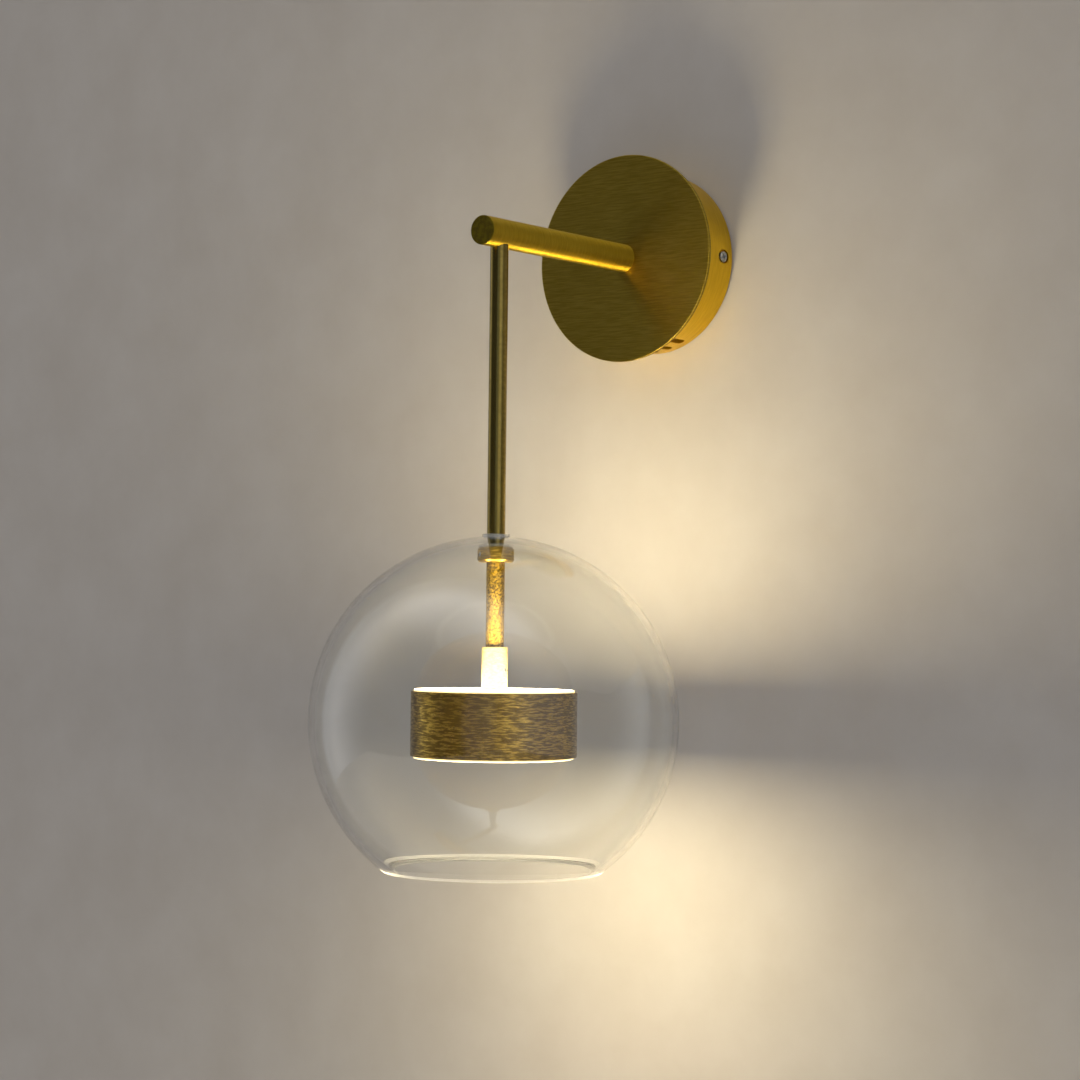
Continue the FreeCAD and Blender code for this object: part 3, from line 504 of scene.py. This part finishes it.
def ringOf(piece, count, firstAngle, angleBetween, finish):
    return runTree(piece, ringTree, {"Count": count, "First angle": math.radians(firstAngle),
                                     "Angle between": math.radians(angleBetween), "Finish": finishes[finish]})


def turnedOut(piece):
    piece.data.transform(outFromWall)
    return piece


def standsFor(piece, body, slot, *nodes):
    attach(piece, body)
    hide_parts(*nodes)
    return piece


# canopy: heights are distances from the wall

disc = {"radius": 59.99, "hole": 5.2, "back": 34, "front": 35.5, "edge": 0.55}

discPiece = turnedPiece("canopyDisc", [
    (disc["hole"], disc["back"]), (disc["radius"], disc["back"], softEdge),
    (disc["radius"], disc["front"], disc["edge"]), (disc["hole"], disc["front"])],
    "brushedBrassDisc", turn=outFromWall, steps=240)
standsFor(discPiece, "fixture", "brushed_brass", "canopy_disc")

cup = {
    "radius": 52.5, "inner": 49.5, "hole": 5.2, "back": 1, "floor": 31, "front": 34,
    "vent": {"length": 14, "width": 4}, "ventDepth": 14, "ventCount": 6, "ventPitch": 10.3,
    "recess": {"length": 10, "width": 7.8}, "recessDepth": 9.9, "recessFloor": 50.7,
    "shankSlot": {"length": 6.6, "width": 4.4}, "slotPast": 0.5,
    "floorEdge": 0.8, "rimEdge": 0.4, "innerEdge": 0.2,
}


def makeCup():
    piece = turnedPiece("canopyCup", [
        (cup["hole"], cup["floor"]), (cup["inner"], cup["floor"], cup["floorEdge"]),
        (cup["inner"], cup["back"], cup["innerEdge"]), (cup["radius"], cup["back"], cup["rimEdge"]),
        (cup["radius"], cup["front"], fineEdge), (cup["hole"], cup["front"])],
        "turnedBrassCup", steps=240)
    inside, outside = cup["inner"] - cutPast, cup["radius"] + cutPast
    vents = slotBar("ventCutters", cup["vent"], inside, outside, cup["ventDepth"])
    first = -90 - (cup["ventCount"] - 1) / 2 * cup["ventPitch"]
    cutBy(piece, ringOf(vents, cup["ventCount"], first, cup["ventPitch"], "turnedBrassCup"))
    recess = slotBar("recessCutters", cup["recess"], cup["recessFloor"], outside, cup["recessDepth"])
    cutBy(piece, ringOf(recess, 2, 0, 180, "turnedBrassCup"))
    shank = slotBar("shankCutters", cup["shankSlot"], inside, cup["recessFloor"] + cup["slotPast"],
                    cup["recessDepth"])
    cutBy(piece, ringOf(shank, 2, 0, 180, "turnedBrassCup"))
    return turnedOut(piece)


standsFor(makeCup(), "fixture", "brushed_brass", "canopy_cup")

sideScrew = {
    "shank": 1.95, "tip": 46.2, "seat": 50.7, "top": 52.1, "head": 3.25, "crown": 0.55,
    "crossLength": 4.9, "crossWidth": 1.15, "crossDepth": 1.0, "crossTurn": 25,
    "crossFoot": 0.55,        # the cross narrows to this share at its foot
    "depth": 8.8,             # from the wall to its axis
}


# a cross-recess screw along X with its head outwards
def makeSideScrews(screw):
    piece = turnedPiece("canopySideScrews", [
        (0, screw["tip"]), (screw["shank"], screw["tip"], easedEdge), (screw["shank"], screw["seat"]),
        (screw["head"], screw["seat"], softEdge), (screw["head"], screw["top"], screw["crown"]),
        (0, screw["top"])], "zincPlatedSteel", closed=False, steps=64)
    for angle in (screw["crossTurn"], screw["crossTurn"] + 90):
        work = bmesh.new()
        bmesh.ops.create_cube(work, size=1.0)
        for vert in work.verts:
            flare = 1.0 if vert.co.z > 0 else screw["crossFoot"]
            vert.co.x *= screw["crossLength"] * flare
            vert.co.y *= screw["crossWidth"] * flare
            vert.co.z = vert.co.z * 2 * screw["crossDepth"] + screw["top"]
        mesh = bpy.data.meshes.new("crossCutter")
        work.to_mesh(mesh)
        work.free()
        mesh.transform(Matrix.Scale(mm, 4) @ Matrix.Rotation(math.radians(angle), 4, "Z"))
        cutBy(piece, newPiece("crossCutter", mesh))
    upToDepth = Matrix.Translation((0, 0, screw["depth"] * mm))
    piece.data.transform(upToDepth @ Matrix.Rotation(math.pi / 2, 4, "Y"))
    return turnedOut(ringOf(piece, 2, 0, 180, "zincPlatedSteel"))


standsFor(cleaned(makeSideScrews(sideScrew)), "fixture", "zinc_steel", "canopy_side_screws")
print("canopy made")


# arm

arm = {"radius": 8, "bore": 5, "back": 35.5, "seam": 135, "tip": 165, "seamEdge": 0.18, "tipEdge": 0.35,
       "spigot": 4.95, "spigotEnd": 123, "channel": 3, "rodAxis": 150, "socket": 5.05, "socketTop": -3,
       "passage": 3.3, "socketPast": 2}

tube = turnedPiece("armTube", [
    (arm["bore"], arm["back"]), (arm["radius"], arm["back"], fineEdge),
    (arm["radius"], arm["seam"], arm["seamEdge"]), (arm["bore"], arm["seam"])],
    "satinBrassArm", turn=outFromWall)
standsFor(tube, "fixture", "brushed_brass", "arm_tube")


def makeArmEnd():
    piece = turnedPiece("armEndBlock", [
        (0, arm["tip"]), (arm["radius"], arm["tip"], arm["tipEdge"]),
        (arm["radius"], arm["seam"], arm["seamEdge"]), (arm["spigot"], arm["seam"]),
        (arm["spigot"], arm["spigotEnd"], easedEdge), (arm["channel"], arm["spigotEnd"]),
        (arm["channel"], arm["rodAxis"]), (0, arm["rodAxis"])],
        "satinBrassArm", turn=outFromWall, closed=False)
    below = -arm["radius"] - arm["socketPast"]
    socket = turnedPiece("rodSocket", [
        (0, below), (arm["socket"], below), (arm["socket"], arm["socketTop"]),
        (arm["passage"], arm["socketTop"]), (arm["passage"], 0), (0, 0)],
        "satinBrassArm", rodPlace, closed=False)
    return cutBy(piece, socket)


standsFor(makeArmEnd(), "fixture", "brushed_brass", "arm_end_block")

dropRod = {"radius": 5, "bore": 3.3, "top": -3, "bottom": -240}
rodPiece = turnedPiece("dropRod", [
    (dropRod["bore"], dropRod["bottom"]), (dropRod["radius"], dropRod["bottom"], softEdge),
    (dropRod["radius"], dropRod["top"], softEdge), (dropRod["bore"], dropRod["top"])],
    "drawnBrassRod", rodPlace)
standsFor(rodPiece, "fixture", "brushed_brass", "drop_rod")
print("arm and rod made")


# globe and what holds it

# the screws' angles are degrees from X round the rod
setScrew = {"hole": 1.5, "radius": 1.45, "socket": 0.87, "holeStart": 4, "holePast": 2, "socketPast": 1,
            "tipEdge": 0.2}


# turns a piece built about Z so that it points out from the rod at an angle
def outFromRod(angle):
    return Matrix.Rotation(math.radians(angle), 4, "Z") @ Matrix.Rotation(math.pi / 2, 4, "Y")


# a hole for a set screw, out from the rod at an angle and a height
def setScrewHole(angle, height, reach):
    radius, start, end = setScrew["hole"], setScrew["holeStart"], reach + setScrew["holePast"]
    return turnedPiece("screwHole", [(0, start), (radius, start), (radius, end), (0, end)],
                       "zincPlatedSteel", rodPlace + Vector((0, 0, height * mm)), outFromRod(angle),
                       steps=48, closed=False)


# a headless screw from the rod to just inside the piece's surface, with a six-sided socket
def makeSetScrew(name, angle, height, tip, end):
    place = rodPlace + Vector((0, 0, height * mm))
    radius, tipEdge = setScrew["radius"], setScrew["tipEdge"]
    piece = turnedPiece(name, [(0, tip), (radius, tip, tipEdge), (radius, end, softEdge), (0, end)],
                        "zincPlatedSteel", place, outFromRod(angle), steps=48, closed=False)
    corner, floor, past = setScrew["socket"], (tip + end) / 2, end + setScrew["socketPast"]
    socket = turnedPiece("socketCutter", [(0, floor), (corner, floor), (corner, past), (0, past)],
                         "zincPlatedSteel", place, outFromRod(angle), steps=6, closed=False)
    return cutBy(piece, socket)


collar = {"radius": 10, "bore": 5.05, "top": -170.5, "bottom": -178.5, "chamfer": 0.9, "screwAngle": -113.8,
          "screwTip": 5.1, "screwEnd": 9.7}


collarMiddle = (collar["top"] + collar["bottom"]) / 2


def makeCollar():
    radius, bore, top, bottom = (collar[key] for key in ("radius", "bore", "top", "bottom"))
    chamfer = collar["chamfer"]
    piece = turnedPiece("globeCollar", [
        (bore, bottom, fineEdge), (radius - chamfer, bottom, softEdge), (radius, bottom + chamfer, softEdge),
        (radius, top - chamfer, softEdge), (radius - chamfer, top, softEdge), (bore, top, fineEdge)],
        "brushedBrassLamp", rodPlace)
    return cutBy(piece, setScrewHole(collar["screwAngle"], collarMiddle, radius))


standsFor(makeCollar(), "fixture", "brushed_brass", "globe_collar")
collarScrew = makeSetScrew("collarSetScrew", collar["screwAngle"], collarMiddle, collar["screwTip"],
                           collar["screwEnd"])
standsFor(collarScrew, "fixture", "zinc_steel", "collar_set_screw")

globe = {"radius": 99.97, "wall": 3.5, "centre": -264.63, "mouth": 58.5, "hole": 7.5, "lipRounding": 1.1,
         "holeRounding": 0.5, "arcPoints": 84}
bush = {"bore": 5.05, "flange": 9.5, "barrel": 7.45, "bottom": -170.5, "stand": 1.4, "edge": 0.35,
        "gap": 0.2,        # between its flange and the inside of the glass
        "topEdge": 0.2}


# points of a circle about the globe's centre from one radius to another, over its widest part
def globeArc(radius, first, last, count):
    start = math.atan2(math.sqrt(radius ** 2 - first[0] ** 2) * first[1], first[0])
    end = math.atan2(math.sqrt(radius ** 2 - last[0] ** 2) * last[1], last[0])
    angles = [start + (end - start) * i / count for i in range(count + 1)]
    return [(radius * math.cos(a), globe["centre"] + radius * math.sin(a)) for a in angles]


def makeGlobe():
    inner = globe["radius"] - globe["wall"]
    drop = math.sqrt(globe["radius"] ** 2 - globe["mouth"] ** 2)
    innerMouth = math.sqrt(inner ** 2 - drop ** 2)
    outside = globeArc(globe["radius"], (globe["mouth"], -1), (globe["hole"], 1), globe["arcPoints"])
    inside = globeArc(inner, (globe["hole"], 1), (innerMouth, -1), globe["arcPoints"])
    rounding = {0: globe["lipRounding"], len(outside) - 1: globe["holeRounding"],
                len(outside): globe["holeRounding"], len(outside) + len(inside) - 1: globe["lipRounding"]}
    corners = [(r, h, rounding.get(i, 0)) for i, (r, h) in enumerate(outside + inside)]
    return turnedPiece("glassGlobe", corners, "clearBlownGlass", rodPlace, steps=256, arcSteps=6,
                       sharpAngle=60)


standsFor(makeGlobe(), "globe", "clear_glass", "glass_globe")


def makeBush():
    crown = globe["radius"] - globe["wall"] - bush["gap"]
    top = globe["centre"] + math.sqrt(globe["radius"] ** 2 - globe["hole"] ** 2) + bush["stand"]
    heights = [globe["centre"] + math.sqrt(crown ** 2 - r ** 2) for r in (bush["flange"], bush["barrel"])]
    return turnedPiece("globeBush", [
        (bush["bore"], bush["bottom"], fineEdge), (bush["flange"], bush["bottom"], bush["edge"]),
        (bush["flange"], heights[0], bush["edge"]), (bush["barrel"], heights[1]),
        (bush["barrel"], top, bush["edge"]), (bush["bore"], top, bush["topEdge"])],
        "clearSilicone", rodPlace)


standsFor(makeBush(), "bush", "clear_silicone", "globe_bush")
print("globe made")


# lamp

sleeve = {"radius": 7, "fit": 5.05, "bore": 3.3, "spigot": 4.95, "top": -224.5, "shoulder": -252.5,
          "bottom": -264.5, "stop": -240, "edge": 0.35, "screwAngle": 7.8, "screwHeight": -236.5,
          "screwTip": 5.1, "screwEnd": 6.7}


def makeSleeve():
    piece = turnedPiece("lampSleeve", [
        (sleeve["bore"], sleeve["bottom"]), (sleeve["spigot"], sleeve["bottom"], easedEdge),
        (sleeve["spigot"], sleeve["shoulder"]), (sleeve["radius"], sleeve["shoulder"], fineEdge),
        (sleeve["radius"], sleeve["top"], sleeve["edge"]), (sleeve["fit"], sleeve["top"], softEdge),
        (sleeve["fit"], sleeve["stop"]), (sleeve["bore"], sleeve["stop"])], "lampLitBrassSleeve", rodPlace)
    return cutBy(piece, setScrewHole(sleeve["screwAngle"], sleeve["screwHeight"], sleeve["radius"]))


standsFor(makeSleeve(), "fixture", "brushed_brass", "lamp_sleeve")
sleeveScrew = makeSetScrew("sleeveSetScrew", sleeve["screwAngle"], sleeve["screwHeight"], sleeve["screwTip"],
                           sleeve["screwEnd"])
standsFor(sleeveScrew, "fixture", "zinc_steel", "sleeve_set_screw")

drum = {"radius": 45, "inner": 43.5, "top": -248.5, "bottom": -283.5, "edge": 0.35}
ring = turnedPiece("drumRing", [
    (drum["inner"], drum["bottom"], drum["edge"]), (drum["radius"], drum["bottom"], drum["edge"]),
    (drum["radius"], drum["top"], drum["edge"]), (drum["inner"], drum["top"], drum["edge"])],
    "brushedBrassLamp", rodPlace, steps=240)
standsFor(ring, "fixture", "brushed_brass", "drum_ring")

diffuser = {"radius": 43.3, "thickness": 4, "stand": 1, "hole": 7.2, "edge": 0.5, "holeEdge": 0.2}
topFace, lowFace = drum["top"] + diffuser["stand"], drum["bottom"] - diffuser["stand"]
topInside, lowInside = topFace - diffuser["thickness"], lowFace + diffuser["thickness"]
upper = turnedPiece("topDiffuser", [
    (diffuser["hole"], topInside), (diffuser["radius"], topInside, fineEdge),
    (diffuser["radius"], topFace, diffuser["edge"]), (diffuser["hole"], topFace, diffuser["holeEdge"])],
    "litOpalAcrylic", rodPlace, steps=192)
standsFor(upper, "fixture", "opal_acrylic", "top_diffuser")
lower = turnedPiece("bottomDiffuser", [
    (0, lowFace), (diffuser["radius"], lowFace, diffuser["edge"]),
    (diffuser["radius"], lowInside, fineEdge), (0, lowInside)],
    "litOpalAcrylic", rodPlace, steps=192, closed=False)
standsFor(lower, "fixture", "opal_acrylic", "bottom_diffuser")
print("lamp made")


# the CAD pieces that stay, each with the finish of its slot

slotFinishes = {
    "brushed_brass": "satinBrassArm", "zinc_steel": "zincPlatedSteel", "plate_steel": "powderCoatedSteel",
    "clear_glass": "clearBlownGlass", "clear_silicone": "clearSilicone", "black_rubber": "blackRubber",
    "opal_acrylic": "litOpalAcrylic", "core_aluminium": "turnedAluminium", "board_white": "whiteBoard",
    "led_phosphor": "ledPhosphor", "driver_case": "mouldedCase", "terminal_plastic": "mouldedPolyamide",
    "earth_insulation": "greenYellowCover", "lead_insulation": "greyCover", "clear_insulation": "clearVinyl",
}

for nodeName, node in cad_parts.items():
    for holder in node.material_slots:
        slotName = holder.material.name.split(".")[0] if holder.material else ""
        if slotName not in slotFinishes:
            print("no finish for", nodeName, slotName)
            continue
        holder.material = finishes[slotFinishes[slotName]]
print("inner pieces finished")


# stage: a pale wall behind the sconce and a pale floor below, seen from their front side only

stageLook = {"wall": "#C3BCB4", "floor": "#D6D2CC", "wallReach": 4000, "wallDepth": 0.3, "hole": 48.4,
             "holeSteps": 96, "floorHeight": -1600, "grain": (60, 60, 60), "paler": 0.10, "rough": 0.85,
             "bump": 0.04}


def stageFinish(name, color):
    finish, tree = newFinish(name)
    grain = grainPattern(tree, stageLook["grain"], detail=4.0, rough=0.6)
    patch = stretched(tree, grain, noiseLow, noiseHigh, 0.0, stageLook["paler"])
    tone = blended(tree, patch, color, "#FFFFFF")
    relief = addNode(tree, "ShaderNodeBump", {"Strength": stageLook["bump"], "Distance": mm},
                     {"Height": grain})
    paint = addNode(tree, "ShaderNodeBsdfPrincipled", {"Roughness": stageLook["rough"]},
                    {"Base Color": tone, "Normal": relief.outputs["Normal"]})
    side = addNode(tree, "ShaderNodeNewGeometry")
    clear = addNode(tree, "ShaderNodeBsdfTransparent")
    mixed = addNode(tree, "ShaderNodeMixShader", None,
                    {0: side.outputs["Backfacing"], 1: paint.outputs["BSDF"], 2: clear.outputs["BSDF"]})
    addNode(tree, "ShaderNodeOutputMaterial", None, {"Surface": mixed.outputs["Shader"]})
    return finish


# the wall has a hole that the wall plate covers, so that the plate's back is lit when it is seen from behind
def makeStage(look):
    wallDepth = look["wallDepth"] * mm
    count = look["holeSteps"]
    points, faces = [], []
    for i in range(count):
        angle = 2 * math.pi * i / count
        points += [(r * mm * math.cos(angle), wallDepth, r * mm * math.sin(angle))
                   for r in (look["hole"], look["wallReach"])]
        a, b = 2 * i, 2 * ((i + 1) % count)
        faces.append((a, b, b + 1, a + 1))
    mesh = bpy.data.meshes.new("wall")
    mesh.from_pydata(points, [], faces)
    if mesh.polygons[0].normal.y > 0:
        mesh.flip_normals()
    wall = newPiece("wall", mesh)
    wall.data.materials.append(stageFinish("paintedWall", look["wall"]))
    reach = look["wallReach"] * mm
    mesh = bpy.data.meshes.new("floor")
    outline = ((-reach, -reach), (reach, -reach), (reach, wallDepth), (-reach, wallDepth))
    mesh.from_pydata([(x, y, look["floorHeight"] * mm) for x, y in outline], [], [(0, 1, 2, 3)])
    floor = newPiece("floor", mesh)
    floor.data.materials.append(stageFinish("paleFloor", look["floor"]))


makeStage(stageLook)


# light: an even neutral sky, dimmer in front where the room is, and the lamp's own light

skyLook = {
    "color": "#FBFBFD", "side": 0.85,
    "high": {"strength": 2.1, "edge": 0.6, "heart": 0.95},
    "dim": {"from": (-0.1, -1.0, 0.0), "squeeze": 0.65, "edge": 0.35, "heart": 0.83, "change": -0.77},
    "horizon": 0.5, "horizonDepth": 0.25,        # the sky meets the wall's plane about as bright as the wall
    "strip": {"from": (0.497, -0.868, 0.0), "squeeze": 0.25, "edge": 0.975, "heart": 0.997, "change": 0.35},
    "stripColor": "#BFD2F2",        # a tall cool window that shows as a band on the drum and the rod
    "seen": 0.86,        # how bright the camera sees it, straight or through the glass
}


def smoothShare(tree, value, low, high, outside=0.0, inside=1.0):
    return addNode(tree, "ShaderNodeMapRange",
                   {"interpolation_type": "SMOOTHSTEP", "From Min": low, "From Max": high, "To Min": outside,
                    "To Max": inside}, {"Value": value}).outputs["Result"]


# a soft patch of sky round a direction, squeezed so that it is taller than it is wide
def skyPatch(tree, place, patch):
    squeezed = addNode(tree, "ShaderNodeVectorMath", {"operation": "MULTIPLY", 1: (1, 1, patch["squeeze"])},
                       {0: place})
    toward = addNode(tree, "ShaderNodeVectorMath", {"operation": "NORMALIZE"},
                     {0: squeezed.outputs["Vector"]})
    heart = Vector(patch["from"]).normalized()
    near = addNode(tree, "ShaderNodeVectorMath", {"operation": "DOT_PRODUCT", 1: heart},
                   {0: toward.outputs["Vector"]})
    return smoothShare(tree, near.outputs["Value"], patch["edge"], patch["heart"], 0.0, patch["change"])


def makeSky(look):
    world = bpy.data.worlds.new("studio")
    world.use_nodes = True
    tree = world.node_tree
    tree.nodes.clear()
    place = addNode(tree, "ShaderNodeTexCoord").outputs["Generated"]
    parts = addNode(tree, "ShaderNodeSeparateXYZ", None, {0: place})
    height = addNode(tree, "ShaderNodeMath", {"operation": "ABSOLUTE"}, {0: parts.outputs["Z"]}).outputs[0]
    high = look["high"]
    level = smoothShare(tree, height, high["edge"], high["heart"], look["side"], high["strength"])
    dim = skyPatch(tree, place, look["dim"])
    level = addNode(tree, "ShaderNodeMath", {"operation": "ADD"}, {0: level, 1: dim}).outputs[0]
    inFront = smoothShare(tree, parts.outputs["Y"], 0.0, -look["horizonDepth"])
    level = addNode(tree, "ShaderNodeMix", {2: look["horizon"]}, {0: inFront, 3: level}).outputs[0]
    even = addNode(tree, "ShaderNodeBackground", {"Color": linearColor(look["color"])}, {"Strength": level})
    cool = addNode(tree, "ShaderNodeBackground", {"Color": linearColor(look["stripColor"])},
                   {"Strength": skyPatch(tree, place, look["strip"])})
    both = addNode(tree, "ShaderNodeAddShader", None,
                   {0: even.outputs["Background"], 1: cool.outputs["Background"]})
    pale = addNode(tree, "ShaderNodeBackground",
                   {"Color": linearColor(look["color"]), "Strength": look["seen"]})
    rays = addNode(tree, "ShaderNodeLightPath")
    # what the inside of the glass mirrors stays dim, as its outside does
    unmirrored = addNode(tree, "ShaderNodeMath", {"operation": "LESS_THAN", 1: 0.5},
                         {0: rays.outputs["Glossy Depth"]})
    through = addNode(tree, "ShaderNodeMath", {"operation": "MULTIPLY"},
                      {0: rays.outputs["Is Transmission Ray"], 1: unmirrored.outputs[0]})
    straight = addNode(tree, "ShaderNodeMath", {"operation": "MAXIMUM"},
                       {0: rays.outputs["Is Camera Ray"], 1: through.outputs[0]})
    shown = addNode(tree, "ShaderNodeMixShader", None,
                    {0: straight.outputs[0], 1: both.outputs["Shader"], 2: pale.outputs["Background"]})
    addNode(tree, "ShaderNodeOutputWorld", None, {"Surface": shown.outputs["Shader"]})
    bpy.context.scene.world = world


makeSky(skyLook)
bpy.context.scene.view_settings.view_transform = "Standard"
print("stage and lights set")
